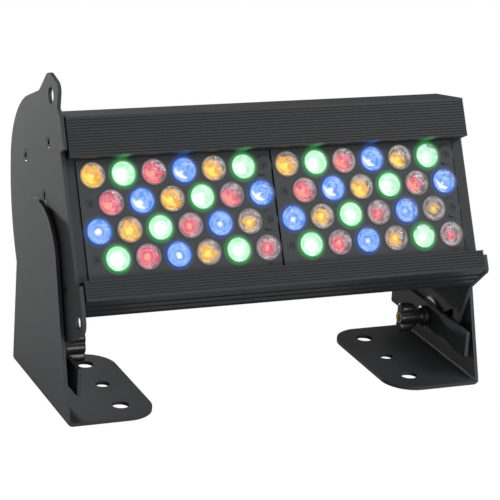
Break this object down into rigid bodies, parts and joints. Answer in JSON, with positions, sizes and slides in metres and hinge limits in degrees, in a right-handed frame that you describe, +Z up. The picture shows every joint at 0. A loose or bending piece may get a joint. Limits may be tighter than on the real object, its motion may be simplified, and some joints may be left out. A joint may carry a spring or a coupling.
{
  "type": "led batten light",
  "caption": "Short stage batten light: ribbed housing with two panels of coloured LED lenses, tilting between end plates on two folded sheet feet.",
  "frame": {"origin": "centre of the bounding box, on the floor under the two feet", "axes": "+X along the batten from the left foot to the right foot seen from the front, +Y from the lenses to the back, +Z up"},
  "size_m": [0.359, 0.1889, 0.2563],
  "materials": {
    "rail_black": "black anodised extrusion, satin",
    "sheet_black": "black powder coat, fine texture, satin",
    "plate_black": "matt black",
    "gasket_black": "matt black rubber",
    "bare_aluminium": "mill finish",
    "board_black": "black solder mask",
    "board_green": "green solder mask",
    "screw_black": "blackened steel",
    "steel": "plain steel",
    "washer_bright": "bright plated",
    "friction_grey": "dark fibre",
    "bush_white": "natural nylon",
    "knob_black": "black moulded, semi-gloss",
    "brass": "turned brass",
    "supply_case": "zinc-plated case",
    "socket_black": "black moulded",
    "amber_lens": "clear moulded collimator lit amber",
    "amber_emitter": "amber emitter, lit",
    "green_lens": "clear moulded collimator lit green",
    "green_emitter": "green emitter, lit",
    "red_lens": "clear moulded collimator lit red",
    "red_emitter": "red emitter, lit",
    "blue_lens": "clear moulded collimator lit blue",
    "blue_emitter": "blue emitter, lit"
  },
  "bodies": {
    "left_foot": {"left_bracket": "sheet_black", "left_pivot_stud": "steel", "left_pivot_nut": "steel", "left_friction_washers": "friction_grey", "left_clamp_stud": "steel", "left_clamp_washer": "washer_bright", "left_clamp_bar": "sheet_black"},
    "head": {"top_rail": "rail_black", "bottom_rail": "rail_black", "rear_housing": "rail_black", "heat_spreader": "bare_aluminium", "power_supply": "supply_case", "control_board": "board_green", "power_inlet": "socket_black", "data_inlet": "socket_black", "data_outlet": "socket_black", "left_module_plate": "plate_black", "left_led_board": "board_black", "left_module_spacers": "bare_aluminium", "left_module_screws": "screw_black", "left_window_cheek": "rail_black", "left_end_gasket": "gasket_black", "left_end_plate": "sheet_black", "left_end_screws": "screw_black", "left_pivot_bush": "bush_white", "right_module_plate": "plate_black", "right_led_board": "board_black", "right_module_spacers": "bare_aluminium", "right_module_screws": "screw_black", "right_window_cheek": "rail_black", "right_end_gasket": "gasket_black", "right_end_plate": "sheet_black", "right_end_screws": "screw_black", "right_pivot_bush": "bush_white", "amber_lenses": "amber_lens", "amber_emitters": "amber_emitter", "green_lenses": "green_lens", "green_emitters": "green_emitter", "red_lenses": "red_lens", "red_emitters": "red_emitter", "blue_lenses": "blue_lens", "blue_emitters": "blue_emitter"},
    "right_foot": {"right_bracket": "sheet_black", "right_pivot_stud": "steel", "right_pivot_nut": "steel", "right_friction_washers": "friction_grey", "right_clamp_stud": "steel", "right_clamp_washer": "washer_bright", "right_clamp_bar": "sheet_black"},
    "left_wing_knob": {"left_knob": "knob_black", "left_knob_insert": "brass"},
    "right_wing_knob": {"right_knob": "knob_black", "right_knob_insert": "brass"}
  },
  "joints": [
    {"name": "head_tilt", "type": "hinge", "parent": "left_foot", "child": "head", "pos_m": [0, 0.0063, 0.105], "axis": [-1, 0, 0], "range_deg": [-28, 10]},
    {"name": "right_foot_swing", "type": "hinge", "parent": "head", "child": "right_foot", "pos_m": [0.175, 0.0063, 0.105], "axis": [-1, 0, 0], "range_deg": [-10, 28]},
    {"name": "left_knob_turn", "type": "hinge", "parent": "left_foot", "child": "left_wing_knob", "pos_m": [-0.15, -0.00545, 0.03304], "axis": [1, 0, 0], "continuous": true},
    {"name": "right_knob_turn", "type": "hinge", "parent": "right_foot", "child": "right_wing_knob", "pos_m": [0.15, -0.00545, 0.03304], "axis": [-1, 0, 0], "continuous": true}
  ],
  "couplings": [
    {"joint": "right_foot_swing", "follows": "head_tilt", "ratio": -1}
  ]
}
